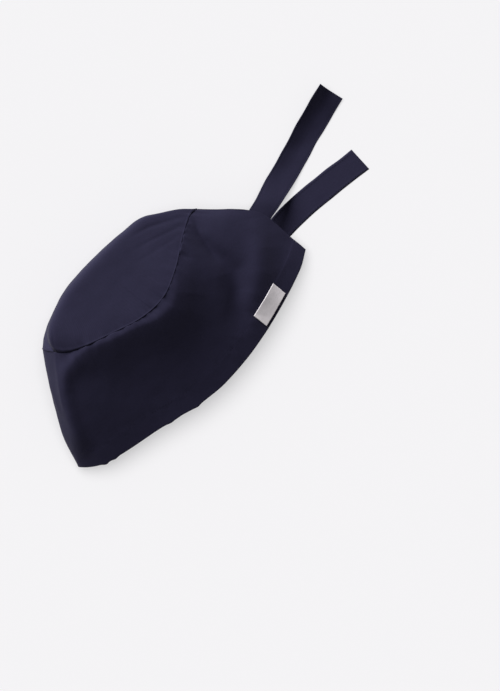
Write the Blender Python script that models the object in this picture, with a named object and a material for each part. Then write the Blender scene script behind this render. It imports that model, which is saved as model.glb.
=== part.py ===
"""Tie-back scrub cap of navy twill, lying on its right side with the left side facing up.

The frame: +X runs from the front fold to the back slit, +Y from the rim to the crown, +Z up
from the floor. The origin is on the floor, in the middle of the cap's footprint, ties included.

The cap is worked out as one surface: a side band that runs from the left edge of the back slit,
past the front fold, to the slit's right edge, and an oval crown panel sewn to the band's upper
edge. The surface is parted at the crown seam, and each piece is then given its cloth's wall.
"""

import math
from collections import namedtuple
from functools import lru_cache

import bmesh
import bpy
from mathutils import Matrix, Vector

# The cap as it lies, in metres.
CAP_LENGTH = 0.298
CAP_HEIGHT = 0.134
LYING_DEPTH = 0.068

# Cloth walls.
CLOTH = 0.0012
HEM_CLOTH = 0.0020
TIE_CLOTH = 0.0016
LABEL_CLOTH = 0.0010

# Hem, slit and clearances.
HEM_DEPTH = 0.019
HEM_STEP = 0.001
SLIT_HEIGHT = 0.083
SEAM_GAP = 0.0005
SEWN_GAP = 0.0005
FLOOR_EASE = 0.004
TIE_EASE = 0.001

# Ties.
TIE_WIDTH = 0.0252
TIE_LENGTH = 0.136
TIE_TUCK = 0.009

# Label.
LABEL_LENGTH = 0.0352
LABEL_WIDTH = 0.0165
LABEL_INSET = 0.0036

# The side band, a row for each upright section. around runs from the left edge of the slit (0)
# past the front fold (0.5) to the right edge (1). x is a share of CAP_LENGTH, y of CAP_HEIGHT
# and z of LYING_DEPTH. out_x and out_z bow the middle of the section out. skew makes the bow fuller
# above the middle, or below it where it is negative. Cloth whose z is below the floor is pressed
# flat on it.
Section = namedtuple("Section", "around rim_x rim_y rim_z seam_x seam_y seam_z out_x out_z skew")
BAND_SECTIONS = (
    Section(0.000, 1.004, 0.003, 0.15, 0.841, 0.739, 0.60, 0.055, -0.04, 0.25),
    Section(0.040, 0.946, -0.073, 0.24, 0.808, 0.737, 0.71, 0.037, 0.00, 0.25),
    Section(0.100, 0.834, -0.160, 0.35, 0.742, 0.655, 0.88, 0.019, 0.02, 0.10),
    Section(0.170, 0.707, -0.235, 0.38, 0.662, 0.536, 0.98, 0.000, 0.00, 0.00),
    Section(0.240, 0.567, -0.279, 0.38, 0.573, 0.450, 1.00, 0.000, -0.04, 0.00),
    Section(0.310, 0.417, -0.268, 0.38, 0.478, 0.452, 1.00, 0.000, -0.04, 0.00),
    Section(0.380, 0.268, -0.195, 0.36, 0.376, 0.518, 0.98, 0.000, -0.02, 0.00),
    Section(0.440, 0.134, -0.141, 0.33, 0.287, 0.585, 0.96, -0.006, 0.02, 0.00),
    Section(0.475, 0.045, -0.085, 0.27, 0.240, 0.636, 0.93, -0.007, 0.06, -0.10),
    Section(0.500, 0.000, -0.002, 0.19, 0.207, 0.700, 0.88, -0.010, 0.07, -0.20),
    Section(0.530, -0.002, 0.016, 0.07, 0.180, 0.781, 0.58, -0.026, 0.03, -0.25),
    Section(0.565, 0.025, 0.014, -0.07, 0.200, 0.792, 0.12, -0.021, -0.08, -0.25),
    Section(0.620, 0.127, -0.057, -0.15, 0.280, 0.750, -0.12, 0.000, -0.15, 0.00),
    Section(0.720, 0.318, -0.156, -0.15, 0.414, 0.665, -0.24, 0.000, -0.15, 0.00),
    Section(0.820, 0.525, -0.191, -0.15, 0.557, 0.636, -0.24, 0.000, -0.15, 0.00),
    Section(0.910, 0.730, -0.149, -0.15, 0.701, 0.686, -0.10, 0.000, -0.15, 0.00),
    Section(0.960, 0.828, -0.106, -0.15, 0.790, 0.730, 0.23, 0.000, -0.20, 0.00),
    Section(1.000, 0.895, -0.078, -0.10, 0.841, 0.739, 0.60, 0.000, -0.30, 0.00),
)
SKEW_FROM = 0.4
SLIT_LEFT, SLIT_RIGHT = BAND_SECTIONS[0].around, BAND_SECTIONS[-1].around
FRONT_FOLD = (SLIT_LEFT + SLIT_RIGHT) / 2

# How far the crown bows out past its seam, as a share of the cap's height, from the front (0) to the
# back (1). CROWN_LEVEL keeps its upper side level before it turns down, CROWN_LEAN is how much of a
# straight slope it keeps, and FOLD_FADE is the share of its width over which the seam's folds fade out.
CrownBow = namedtuple("CrownBow", "along rise")
CROWN_BOWS = (
    CrownBow(0.00, 0.380),
    CrownBow(0.10, 0.480),
    CrownBow(0.20, 0.480),
    CrownBow(0.35, 0.462),
    CrownBow(0.50, 0.456),
    CrownBow(0.65, 0.458),
    CrownBow(0.80, 0.470),
    CrownBow(1.00, 0.280),
)
CROWN_LEVEL = 9.0
CROWN_LEAN = 0.02
FOLD_FADE = 0.14

# Main folds of the band's upper side, each along a line of places in the cap's own plan. x is a share of
# the cap's length, y of its height and height of its lying depth. above and below are the fold's reach
# towards the crown and towards the rim, as shares of the height.
Place = namedtuple("Place", "x y height above below")
FRONT_AND_SEAM_ROLL = (
    Place(0.028, 0.012, 0.000, 0.060, 0.06),
    Place(0.056, 0.145, 0.062, 0.060, 0.06),
    Place(0.082, 0.255, 0.062, 0.060, 0.06),
    Place(0.107, 0.365, 0.056, 0.060, 0.06),
    Place(0.132, 0.450, 0.052, 0.060, 0.06),
    Place(0.160, 0.510, 0.052, 0.060, 0.06),
    Place(0.190, 0.543, 0.056, 0.060, 0.07),
    Place(0.240, 0.561, 0.062, 0.055, 0.10),
    Place(0.290, 0.546, 0.066, 0.053, 0.14),
    Place(0.357, 0.482, 0.074, 0.053, 0.16),
    Place(0.449, 0.412, 0.086, 0.060, 0.18),
    Place(0.510, 0.352, 0.124, 0.082, 0.18),
    Place(0.574, 0.345, 0.124, 0.090, 0.16),
    Place(0.615, 0.400, 0.105, 0.090, 0.14),
    Place(0.655, 0.480, 0.060, 0.080, 0.12),
    Place(0.700, 0.567, 0.000, 0.080, 0.12),
)
BACK_VALLEY = (
    Place(0.779, 0.700, 0.000, 0.060, 0.06),
    Place(0.780, 0.520, -0.050, 0.060, 0.06),
    Place(0.784, 0.360, -0.065, 0.070, 0.07),
    Place(0.782, 0.250, -0.065, 0.080, 0.08),
    Place(0.750, 0.139, -0.070, 0.080, 0.08),
    Place(0.694, -0.003, -0.040, 0.080, 0.08),
    Place(0.650, -0.100, 0.000, 0.080, 0.08),
)
BACK_CREST = (
    Place(0.950, 0.420, 0.000, 0.090, 0.09),
    Place(0.898, 0.230, 0.060, 0.090, 0.09),
    Place(0.845, 0.105, 0.070, 0.090, 0.09),
    Place(0.790, 0.005, 0.050, 0.090, 0.09),
    Place(0.740, -0.067, 0.000, 0.090, 0.09),
)
BACK_PUFF = (
    Place(0.950, 0.500, 0.000, 0.100, 0.15),
    Place(0.890, 0.560, 0.018, 0.100, 0.15),
    Place(0.835, 0.590, 0.018, 0.100, 0.15),
    Place(0.760, 0.600, 0.000, 0.100, 0.15),
)
BAND_FOLDS = (FRONT_AND_SEAM_ROLL, BACK_VALLEY, BACK_CREST, BACK_PUFF)

# Where the band turns under, the folds of its upper side fade out over a short way round it.
TURNED_UNDER = 0.53
TURN = 0.03

# Each tie's middle line, from the slit's edge out. run is a share of TIE_LENGTH, side is the
# sideways drift as a share of it, lift is the height as a share of the height at the slit, and
# bank is the tilt across the tie in degrees, its crown side up. curl turns that side's edge up
# further, as a share of TIE_WIDTH.
TiePoint = namedtuple("TiePoint", "run side lift bank curl")
LEFT_TIE = (
    TiePoint(0.00, 0.000, 1.00, 0, 0.00),
    TiePoint(0.10, 0.000, 0.78, 2, 0.00),
    TiePoint(0.26, 0.002, 0.28, 2, 0.15),
    TiePoint(0.50, 0.008, 0.04, 4, 0.35),
    TiePoint(0.75, 0.016, 0.09, 9, 0.55),
    TiePoint(1.00, 0.014, 0.20, 13, 0.80),
)
RIGHT_TIE = (
    TiePoint(0.00, 0.000, 1.00, 0, 0.00),
    TiePoint(0.10, 0.006, 0.62, 0, 0.00),
    TiePoint(0.22, 0.018, 0.16, 0, 0.00),
    TiePoint(0.36, 0.028, -0.20, 1, 0.00),
    TiePoint(0.60, 0.026, -0.60, 0, 0.00),
    TiePoint(1.00, -0.006, -0.60, 0, 0.00),
)
LEFT_TIE_HEADING = 15.3
RIGHT_TIE_HEADING = -1.5
LEFT_TIE_UP = 0.545
RIGHT_TIE_UP = 0.375

# Where the label's middle sits round the band.
LABEL_AROUND = 0.119

# The band is drawn in to the slit's left edge from this place round it, by a rise of this power.
DRAWN_FROM = 0.86
DRAWN_POWER = 6

# The share of a tie's length over which it comes free of the band's curve, and where its curl starts
# across it.
FREE_SHARE = 0.35
CURL_FROM = 0.1

# Steps for slopes, as shares of the surface, the number of straight steps in a section's length, the
# distance at which joined points are one, and the angle that stays sharp in a view.
STEP = 0.01
LENGTH_STEPS = 8
WELD = 0.00001
SHARP_ANGLE = 35

# How finely the sheets are divided. The crown is a square grid, a quarter of the columns a side.
COLUMNS = 80
HEM_ROWS = 3
SLIT_ROWS = 8
TOP_ROWS = 5
TIE_STATIONS = 22
TUCK_STATIONS = 2
TIE_STRIPS = 4
LABEL_STATIONS = 6
LABEL_STRIPS = 2

# Finishes: name, colour as linear values, and roughness.
NAVY_TWILL = ("navy cotton twill", (0.021, 0.019, 0.042, 1.0), 0.85)
WOVEN_LABEL = ("woven label", (0.78, 0.73, 0.75, 1.0), 0.70)


def smooth(x):
    """0 to 1 with level ends."""
    x = min(max(x, 0.0), 1.0)
    return x * x * (3.0 - 2.0 * x)


def curve_through(table, key, column):
    """A smooth curve through one column of a table, as a function of its key column."""
    places = [getattr(row, key) for row in table]
    values = [getattr(row, column) for row in table]
    last = len(table) - 1

    def slope(i):
        low, high = max(i - 1, 0), min(i + 1, last)
        return (values[high] - values[low]) / (places[high] - places[low])

    def at(place):
        place = min(max(place, places[0]), places[last])
        i = next(n for n in range(last) if place <= places[n + 1])
        span = places[i + 1] - places[i]
        x = (place - places[i]) / span
        rise = values[i + 1] - values[i]
        start, end = slope(i) * span, slope(i + 1) * span
        bend = (3 * rise - 2 * start - end) + x * (start + end - 2 * rise)
        return values[i] + x * (start + x * bend)

    return at


BAND_CURVES = {name: curve_through(BAND_SECTIONS, "around", name) for name in Section._fields[1:]}
CROWN_RISE = curve_through(CROWN_BOWS, "along", "rise")


def above_floor(height, ease=FLOOR_EASE):
    """A height, or the floor where the cloth would sink through, eased into the flat."""
    if height < -ease:
        return 0.0
    if height < ease:
        return (height + ease) ** 2 / (4 * ease)
    return height


def section_point(around, up):
    """A point of one section of the band, by its table alone."""
    value = {name: curve(around) for name, curve in BAND_CURVES.items()}
    rim = Vector((value["rim_x"], value["rim_y"], value["rim_z"]))
    seam = Vector((value["seam_x"], value["seam_y"], value["seam_z"]))
    fuller = 1.0 + value["skew"] * math.sin(2.0 * math.pi * (up - SKEW_FROM))
    bow = Vector((value["out_x"] * fuller, 0.0, value["out_z"])) * math.sin(math.pi * up)
    share = rim.lerp(seam, up) + bow
    return Vector((share.x * CAP_LENGTH, share.y * CAP_HEIGHT, share.z * LYING_DEPTH))


@lru_cache(maxsize=None)
def section_length(around):
    """The length of cloth from the rim to the seam."""
    points = [section_point(around, step / LENGTH_STEPS) for step in range(LENGTH_STEPS + 1)]
    return sum((b - a).length for a, b in zip(points, points[1:]))


@lru_cache(maxsize=None)
def around_per_metre(around):
    """How much around changes along a metre of the rim."""
    low, high = max(around - STEP, SLIT_LEFT), min(around + STEP, SLIT_RIGHT)
    return (high - low) / (section_point(high, 0.0) - section_point(low, 0.0)).length


def slit_top():
    """The share of the band's height that the slit reaches."""
    return SLIT_HEIGHT / section_length(SLIT_LEFT)


def beside_fold(place, a, b):
    """How far a place is from one stretch of a fold, and the fold's height there."""
    start = Vector((a.x * CAP_LENGTH, a.y * CAP_HEIGHT))
    run = Vector((b.x * CAP_LENGTH, b.y * CAP_HEIGHT)) - start
    share = min(max((place - start).dot(run) / run.length_squared, 0.0), 1.0)
    off = place - start - run * share
    height = a.height + (b.height - a.height) * share
    above = a.above + (b.above - a.above) * share
    below = a.below + (b.below - a.below) * share
    reach = (above if off.y > 0.0 else below) * CAP_HEIGHT
    return off.length, height * math.exp(-((off.length / reach) ** 2))


def fold_height(place, around):
    """How far the folds lift the band's upper side at a place in the plan."""
    heights = [min(beside_fold(place, a, b) for a, b in zip(fold, fold[1:]))[1] for fold in BAND_FOLDS]
    return sum(heights) * LYING_DEPTH * smooth((TURNED_UNDER - around) / TURN)


def folded_point(around, up):
    """A point of a section with its folds, before the back is drawn together."""
    point = section_point(around, up)
    point.z += fold_height(point.xy, around)
    return point


@lru_cache(maxsize=None)
def slit_opening(up):
    """From the right edge of the slit to the left one."""
    return folded_point(SLIT_LEFT, up) - folded_point(SLIT_RIGHT, up)


def loose_band(around, up):
    """The outside of the band before the floor presses it, with both sides joined above the slit."""
    point = folded_point(around, up)
    if around > DRAWN_FROM:
        top = slit_top()
        below = min(up / top, 1.0) ** DRAWN_POWER
        beside = smooth((around - DRAWN_FROM) / (SLIT_RIGHT - DRAWN_FROM))
        point += slit_opening(max(up, top)) * below * beside
    return point


def band_surface(around, up):
    """The outside of the band."""
    point = loose_band(around, up)
    return Vector((point.x, point.y, above_floor(point.z)))


def band_outwards(around, up):
    """The way out of the band's surface."""
    low, high = max(around - STEP, SLIT_LEFT), min(around + STEP, SLIT_RIGHT)
    below, above = max(up - STEP, 0.0), min(up + STEP, 1.0)
    along = band_surface(high, up) - band_surface(low, up)
    rise = band_surface(around, above) - band_surface(around, below)
    return rise.cross(along).normalized()


def crown_surface(turn, reach):
    """The outside of the crown. turn goes round as around does, reach is 0 mid-crown, 1 at the seam."""
    angle = 2.0 * math.pi * (turn - FRONT_FOLD)
    along = min(max(reach * math.cos(angle), -1.0), 1.0)
    across = reach * math.sin(angle)
    side = math.acos(along) / math.pi
    width = math.sin(math.pi * side)
    share = 0.5 + (min(max(across / width, -1.0), 1.0) / 2.0 if width > WELD else 0.0)
    left = section_point(FRONT_FOLD * (1.0 - side), 1.0)
    right = loose_band(FRONT_FOLD * (1.0 + side), 1.0)
    bow = math.sin(math.pi * share) * width
    fold = fold_height(left.xy, FRONT_FOLD * (1.0 - side)) * math.exp(-((share * width / FOLD_FADE) ** 2))
    turned = share**CROWN_LEVEL / (share**CROWN_LEVEL + (1.0 - share) ** CROWN_LEVEL)
    down = CROWN_LEAN * share + (1.0 - CROWN_LEAN) * turned
    point = left.lerp(right, share)
    point.y += CROWN_RISE(side) * CAP_HEIGHT * bow
    point.z = (left.z + fold) * (1.0 - down) + right.z * down
    return Vector((point.x, point.y, above_floor(point.z)))


def band_row(around, row):
    """How far up the band a row of its grid lies, and the cloth there."""
    length = section_length(around)
    hem_marks = (0.0, HEM_DEPTH / 2, HEM_DEPTH, HEM_DEPTH + HEM_STEP)
    hem_top = hem_marks[HEM_ROWS] / length
    if row <= HEM_ROWS:
        return hem_marks[row] / length, CLOTH if row == HEM_ROWS else HEM_CLOTH
    if row <= HEM_ROWS + SLIT_ROWS:
        return hem_top + (slit_top() - hem_top) * (row - HEM_ROWS) / SLIT_ROWS, CLOTH
    return slit_top() + (1.0 - slit_top()) * (row - HEM_ROWS - SLIT_ROWS) / TOP_ROWS, CLOTH


def square_to_turn(across, up):
    """A place in a unit square as a turn and a reach, ring by ring, from its middle."""
    a, b = 2.0 * across - 1.0, 2.0 * up - 1.0
    reach = max(abs(a), abs(b))
    if reach < WELD:
        return FRONT_FOLD, 0.0
    if abs(b) > abs(a):
        quarters = (1.0 if b > 0.0 else 3.0) - a / b / 2.0
    else:
        quarters = (0.0 if a > 0.0 else 2.0) + b / a / 2.0
    return (quarters / 4.0) % 1.0, reach


def add_grid(sheet, columns, rows, place):
    """Adds a grid whose points are put by place(column, row), which gives a point and a wall."""
    wall = sheet.verts.layers.float["wall"]
    made = bmesh.ops.create_grid(sheet, x_segments=columns, y_segments=rows, size=0.5)["verts"]
    for vertex in made:
        column = round((vertex.co.x + 0.5) * columns)
        row = round((vertex.co.y + 0.5) * rows)
        vertex.co, vertex[wall] = place(column, row)
    return made


def new_sheet():
    """An empty sheet with room for its walls."""
    sheet = bmesh.new()
    sheet.verts.layers.float.new("wall")
    sheet.verts.layers.float_vector.new("inwards")
    return sheet


def set_walls(sheet, outwards):
    """Turns the sheet's faces outwards and sets how each point moves to the inner side."""
    bmesh.ops.recalc_face_normals(sheet, faces=sheet.faces)
    highest = max(sheet.faces, key=lambda face: face.calc_center_median().z)
    if highest.normal.z * outwards < 0.0:
        bmesh.ops.reverse_faces(sheet, faces=sheet.faces)
    sheet.normal_update()
    wall, inwards = sheet.verts.layers.float["wall"], sheet.verts.layers.float_vector["inwards"]
    for vertex in sheet.verts:
        vertex[inwards] = vertex.normal * -vertex[wall]


def close_walls(sheet):
    """Gives the sheet its inner side and its edges. The sheet stays as its outer side."""
    inwards = sheet.verts.layers.float_vector["inwards"]
    made = bmesh.ops.extrude_face_region(sheet, geom=sheet.faces[:], use_keep_orig=True)["geom"]
    for vertex in (item for item in made if isinstance(item, bmesh.types.BMVert)):
        vertex.co += vertex[inwards]
    bmesh.ops.recalc_face_normals(sheet, faces=sheet.faces)


def cloth_material(name, colour, roughness):
    """A plain finish in the piece's colour."""
    made = bpy.data.materials.new(name)
    made.use_nodes = True
    shader = made.node_tree.nodes["Principled BSDF"]
    shader.inputs["Base Color"].default_value = colour
    shader.inputs["Roughness"].default_value = roughness
    shader.inputs["Metallic"].default_value = 0.0
    return made


def add_piece(name, sheet, finish):
    """Makes a named object of a sheet, with its wall."""
    close_walls(sheet)
    mesh = bpy.data.meshes.new(name)
    sheet.to_mesh(mesh)
    sheet.free()
    mesh.shade_smooth()
    mesh.set_sharp_from_angle(angle=math.radians(SHARP_ANGLE))
    mesh.materials.append(finish)
    piece = bpy.data.objects.new(name, mesh)
    bpy.context.scene.collection.objects.link(piece)
    return piece


def cap_sheet():
    """Band and crown as one surface, joined at the seam and at the back above the slit."""
    sheet = new_sheet()
    seam = sheet.verts.layers.int.new("seam")

    def band_place(column, row):
        around = column / COLUMNS
        up, wall = band_row(around, row)
        return band_surface(around, up), wall

    def crown_place(column, row):
        return crown_surface(*square_to_turn(column * 4 / COLUMNS, row * 4 / COLUMNS)), CLOTH

    add_grid(sheet, COLUMNS, HEM_ROWS + SLIT_ROWS + TOP_ROWS, band_place)
    crown = add_grid(sheet, COLUMNS // 4, COLUMNS // 4, crown_place)
    for face in {face for vertex in crown for face in vertex.link_faces}:
        face.material_index = 1
    bmesh.ops.remove_doubles(sheet, verts=sheet.verts, dist=WELD)
    set_walls(sheet, outwards=1.0)
    for vertex in sheet.verts:
        vertex[seam] = int(len({face.material_index for face in vertex.link_faces}) == 2)
    return sheet


def part_at_seam(sheet, index):
    """One of the two pieces, drawn back from the crown seam by half the seam's gap."""
    piece = sheet.copy()
    other = [face for face in piece.faces if face.material_index != index]
    bmesh.ops.delete(piece, geom=other, context="FACES")
    seam, inwards = piece.verts.layers.int["seam"], piece.verts.layers.float_vector["inwards"]
    moves = {}
    for vertex in (vertex for vertex in piece.verts if vertex[seam]):
        beside = [edge.other_vert(vertex) for edge in vertex.link_edges if edge.is_boundary]
        across = (beside[1].co - beside[0].co).cross(vertex[inwards]).normalized()
        middles = sum((face.calc_center_median() for face in vertex.link_faces), Vector())
        into = middles / len(vertex.link_faces) - vertex.co
        moves[vertex] = across * math.copysign(SEAM_GAP / 2, across.dot(into))
    for vertex, move in moves.items():
        vertex.co += move
    for face in piece.faces:
        face.material_index = 0
    return piece


def tie_sheet(edge, up_middle, heading, table, outwards):
    """A tie, tucked under the band at the slit's edge. outwards is 1 on the left, -1 on the right."""
    curves = {name: curve_through(table, "run", name) for name in TiePoint._fields[1:]}
    inside = -(CLOTH + SEWN_GAP)
    towards_front = math.copysign(1.0, FRONT_FOLD - edge)
    ahead = Vector((math.cos(math.radians(heading)), math.sin(math.radians(heading)), 0.0))
    aside = Vector((-ahead.y, ahead.x, 0.0))
    rest = TIE_CLOTH if outwards > 0 else 0.0

    def under_band(back, across):
        around = edge + towards_front * back * around_per_metre(edge)
        up = up_middle + across * TIE_WIDTH / section_length(edge)
        return band_surface(around, up) + band_outwards(around, up) * inside

    bed = under_band(0.0, 0.0)

    def place(column, row):
        across = row / TIE_STRIPS - 0.5
        if column < TUCK_STATIONS:
            return under_band(TIE_TUCK * (1.0 - column / TUCK_STATIONS), across), TIE_CLOTH
        root = under_band(0.0, across)
        run = (column - TUCK_STATIONS) / (TIE_STATIONS - TUCK_STATIONS)
        free = 1.0 - smooth(run / FREE_SHARE)
        slant = (root - bed).dot(ahead) * free
        width = (root - bed).dot(aside) * free + across * TIE_WIDTH * (1.0 - free)
        side = curves["side"](run) * TIE_LENGTH
        point = bed + ahead * (run * TIE_LENGTH + slant) + aside * (width + side)
        tilt = math.tan(math.radians(curves["bank"](run))) * across * TIE_WIDTH
        tilt += curves["curl"](run) * max(across + CURL_FROM, 0.0) ** 2 * TIE_WIDTH
        lift = curves["lift"](run) * ((root.z - rest) * free + (bed.z - rest) * (1.0 - free))
        point.z = rest + (above_floor(lift + tilt, TIE_EASE) if run > 0.0 else lift)
        return point, TIE_CLOTH

    sheet = new_sheet()
    add_grid(sheet, TIE_STATIONS, TIE_STRIPS, place)
    set_walls(sheet, outwards)
    return sheet


def label_sheet():
    """The label on the hem, its long side along the rim."""
    turn = LABEL_LENGTH * around_per_metre(LABEL_AROUND)

    def place(column, row):
        around = LABEL_AROUND + turn * (column / LABEL_STATIONS - 0.5)
        up = (LABEL_INSET + LABEL_WIDTH * row / LABEL_STRIPS) / section_length(around)
        raised = band_outwards(around, up) * (SEWN_GAP + LABEL_CLOTH)
        return band_surface(around, up) + raised, LABEL_CLOTH

    sheet = new_sheet()
    add_grid(sheet, LABEL_STATIONS, LABEL_STRIPS, place)
    set_walls(sheet, outwards=1.0)
    return sheet


def centre_footprint(pieces):
    """Moves the pieces so that the origin is in the middle of their footprint, on the floor."""
    corners = [vertex.co for piece in pieces for vertex in piece.data.vertices]
    low = Vector([min(corner[axis] for corner in corners) for axis in range(3)])
    high = Vector([max(corner[axis] for corner in corners) for axis in range(3)])
    shift = Vector((-(low.x + high.x) / 2, -(low.y + high.y) / 2, -low.z))
    for piece in pieces:
        piece.data.transform(Matrix.Translation(shift))


def main():
    for old in list(bpy.data.objects):
        bpy.data.objects.remove(old)
    twill = cloth_material(*NAVY_TWILL)
    woven = cloth_material(*WOVEN_LABEL)
    cap = cap_sheet()
    left = tie_sheet(SLIT_LEFT, LEFT_TIE_UP, LEFT_TIE_HEADING, LEFT_TIE, 1.0)
    right = tie_sheet(SLIT_RIGHT, RIGHT_TIE_UP, RIGHT_TIE_HEADING, RIGHT_TIE, -1.0)
    pieces = [
        add_piece("side_band", part_at_seam(cap, 0), twill),
        add_piece("crown_panel", part_at_seam(cap, 1), twill),
        add_piece("tie_left", left, twill),
        add_piece("tie_right", right, twill),
        add_piece("label", label_sheet(), woven),
    ]
    cap.free()
    centre_footprint(pieces)


main()
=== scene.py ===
"""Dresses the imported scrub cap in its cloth: twill band and crown, hem, straps, label, stitches and studio.

The cap lies on its right side with its left side up. Its surfaces are worked out in the cap's own plan,
where x runs from the front tip of the rim to the back, y from the rim to the crown and z up from the
floor, and are then moved onto the frame.
"""

import math
from collections import namedtuple

import bmesh
import bpy
import numpy as np
from mathutils import Matrix, Vector, noise


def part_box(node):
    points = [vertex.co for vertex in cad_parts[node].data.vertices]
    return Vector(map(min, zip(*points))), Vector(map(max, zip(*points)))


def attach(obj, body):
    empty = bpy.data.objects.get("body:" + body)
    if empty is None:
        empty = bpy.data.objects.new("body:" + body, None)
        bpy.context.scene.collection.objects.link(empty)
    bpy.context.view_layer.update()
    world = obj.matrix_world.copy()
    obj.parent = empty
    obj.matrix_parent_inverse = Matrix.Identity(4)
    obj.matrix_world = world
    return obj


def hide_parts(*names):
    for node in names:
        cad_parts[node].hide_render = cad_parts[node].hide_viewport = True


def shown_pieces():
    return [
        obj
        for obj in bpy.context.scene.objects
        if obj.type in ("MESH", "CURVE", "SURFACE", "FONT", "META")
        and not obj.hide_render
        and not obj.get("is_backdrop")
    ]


bl_info = {
    "name": "Scrub Cap",
    "version": (1, 0, 0),
    "blender": (4, 5, 0),
    "location": "View3D > Sidebar > Cap",
    "description": "Cloth, stitches and studio for a tie-back scrub cap that lies on its side",
    "category": "Add Mesh",
}

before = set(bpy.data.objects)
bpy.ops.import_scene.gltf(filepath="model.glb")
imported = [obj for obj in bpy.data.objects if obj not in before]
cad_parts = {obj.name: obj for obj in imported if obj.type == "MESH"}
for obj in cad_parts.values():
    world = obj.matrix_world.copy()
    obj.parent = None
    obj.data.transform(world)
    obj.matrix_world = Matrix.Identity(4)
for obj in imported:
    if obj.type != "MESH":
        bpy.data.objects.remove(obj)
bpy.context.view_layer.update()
MM = 0.001


def table(kind, *rows):
    """A table whose rows have named columns."""
    return tuple(kind(*row) for row in rows)


# The side band, a row for each upright section. around runs from the left edge of the slit (0) past the
# front fold (0.5) to the right edge (1). x is a share of the cap's length, y of its height and z of its
# lying depth. out_x and out_z bow the middle of the section out. skew makes the bow fuller above the
# middle, or below it where it is negative.
Section = namedtuple("Section", "around rim_x rim_y rim_z seam_x seam_y seam_z out_x out_z skew")
BAND_SECTIONS = table(
    Section,
    (0.000, 1.004, 0.003, 0.15, 0.841, 0.739, 0.60, 0.055, -0.04, 0.25),
    (0.040, 0.946, -0.073, 0.24, 0.808, 0.737, 0.71, 0.037, 0.00, 0.25),
    (0.100, 0.834, -0.160, 0.35, 0.742, 0.655, 0.88, 0.019, 0.02, 0.10),
    (0.170, 0.707, -0.235, 0.38, 0.662, 0.536, 0.98, 0.000, 0.00, 0.00),
    (0.240, 0.567, -0.279, 0.38, 0.573, 0.450, 1.00, 0.000, -0.04, 0.00),
    (0.310, 0.417, -0.268, 0.38, 0.478, 0.452, 1.00, 0.000, -0.04, 0.00),
    (0.380, 0.268, -0.195, 0.36, 0.376, 0.518, 0.98, 0.000, -0.02, 0.00),
    (0.440, 0.134, -0.141, 0.33, 0.287, 0.585, 0.96, -0.006, 0.02, 0.00),
    (0.475, 0.045, -0.085, 0.27, 0.240, 0.636, 0.93, -0.007, 0.06, -0.10),
    (0.500, 0.000, -0.002, 0.19, 0.207, 0.700, 0.88, -0.010, 0.07, -0.20),
    (0.530, -0.002, 0.016, 0.07, 0.180, 0.781, 0.58, -0.026, 0.03, -0.25),
    (0.565, 0.025, 0.014, -0.07, 0.200, 0.792, 0.12, -0.021, -0.08, -0.25),
    (0.620, 0.127, -0.057, -0.15, 0.280, 0.750, -0.12, 0.000, -0.15, 0.00),
    (0.720, 0.318, -0.156, -0.15, 0.414, 0.665, -0.24, 0.000, -0.15, 0.00),
    (0.820, 0.525, -0.191, -0.15, 0.557, 0.636, -0.24, 0.000, -0.15, 0.00),
    (0.910, 0.730, -0.149, -0.15, 0.701, 0.686, -0.10, 0.000, -0.15, 0.00),
    (0.960, 0.828, -0.106, -0.15, 0.790, 0.730, 0.23, 0.000, -0.20, 0.00),
    (1.000, 0.895, -0.078, -0.10, 0.841, 0.739, 0.60, 0.000, -0.30, 0.00),
)
SKEW_FROM = 0.4
SLIT_LEFT, SLIT_RIGHT = BAND_SECTIONS[0].around, BAND_SECTIONS[-1].around
FRONT_FOLD = (SLIT_LEFT + SLIT_RIGHT) / 2
FRAME_COLUMNS = 80

# How far the crown bows out past its seam, as a share of the cap's height, from the front (0) to the
# back (1). CROWN_LEVEL keeps its upper side level before it turns down, CROWN_LEAN is how much of a
# straight slope it keeps, and FOLD_FADE is the share of its width over which the seam's folds fade out.
CrownBow = namedtuple("CrownBow", "along rise")
CROWN_BOWS = table(
    CrownBow,
    (0.00, 0.380),
    (0.10, 0.480),
    (0.20, 0.480),
    (0.35, 0.462),
    (0.50, 0.456),
    (0.65, 0.458),
    (0.80, 0.470),
    (1.00, 0.280),
)
CROWN_LEVEL = 9.0
CROWN_LEAN = 0.02
FOLD_FADE = 0.14

# Main folds of the band's upper side, each along a line of places in the cap's own plan. x is a share of
# the cap's length, y of its height and height of its lying depth. above and below are the fold's reach
# towards the crown and towards the rim, as shares of the height.
Place = namedtuple("Place", "x y height above below")
FRONT_AND_SEAM_ROLL = table(
    Place,
    (0.028, 0.012, 0.000, 0.060, 0.06),
    (0.056, 0.145, 0.062, 0.060, 0.06),
    (0.082, 0.255, 0.062, 0.060, 0.06),
    (0.107, 0.365, 0.056, 0.060, 0.06),
    (0.132, 0.450, 0.052, 0.060, 0.06),
    (0.160, 0.510, 0.052, 0.060, 0.06),
    (0.190, 0.543, 0.056, 0.060, 0.07),
    (0.240, 0.561, 0.062, 0.055, 0.10),
    (0.290, 0.546, 0.066, 0.053, 0.14),
    (0.357, 0.482, 0.074, 0.053, 0.16),
    (0.449, 0.412, 0.086, 0.060, 0.18),
    (0.510, 0.352, 0.124, 0.082, 0.18),
    (0.574, 0.345, 0.124, 0.090, 0.16),
    (0.615, 0.400, 0.105, 0.090, 0.14),
    (0.655, 0.480, 0.060, 0.080, 0.12),
    (0.700, 0.567, 0.000, 0.080, 0.12),
)
BACK_VALLEY = table(
    Place,
    (0.779, 0.700, 0.000, 0.060, 0.06),
    (0.780, 0.520, -0.050, 0.060, 0.06),
    (0.784, 0.360, -0.065, 0.070, 0.07),
    (0.782, 0.250, -0.065, 0.080, 0.08),
    (0.750, 0.139, -0.070, 0.080, 0.08),
    (0.694, -0.003, -0.040, 0.080, 0.08),
    (0.650, -0.100, 0.000, 0.080, 0.08),
)
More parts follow.
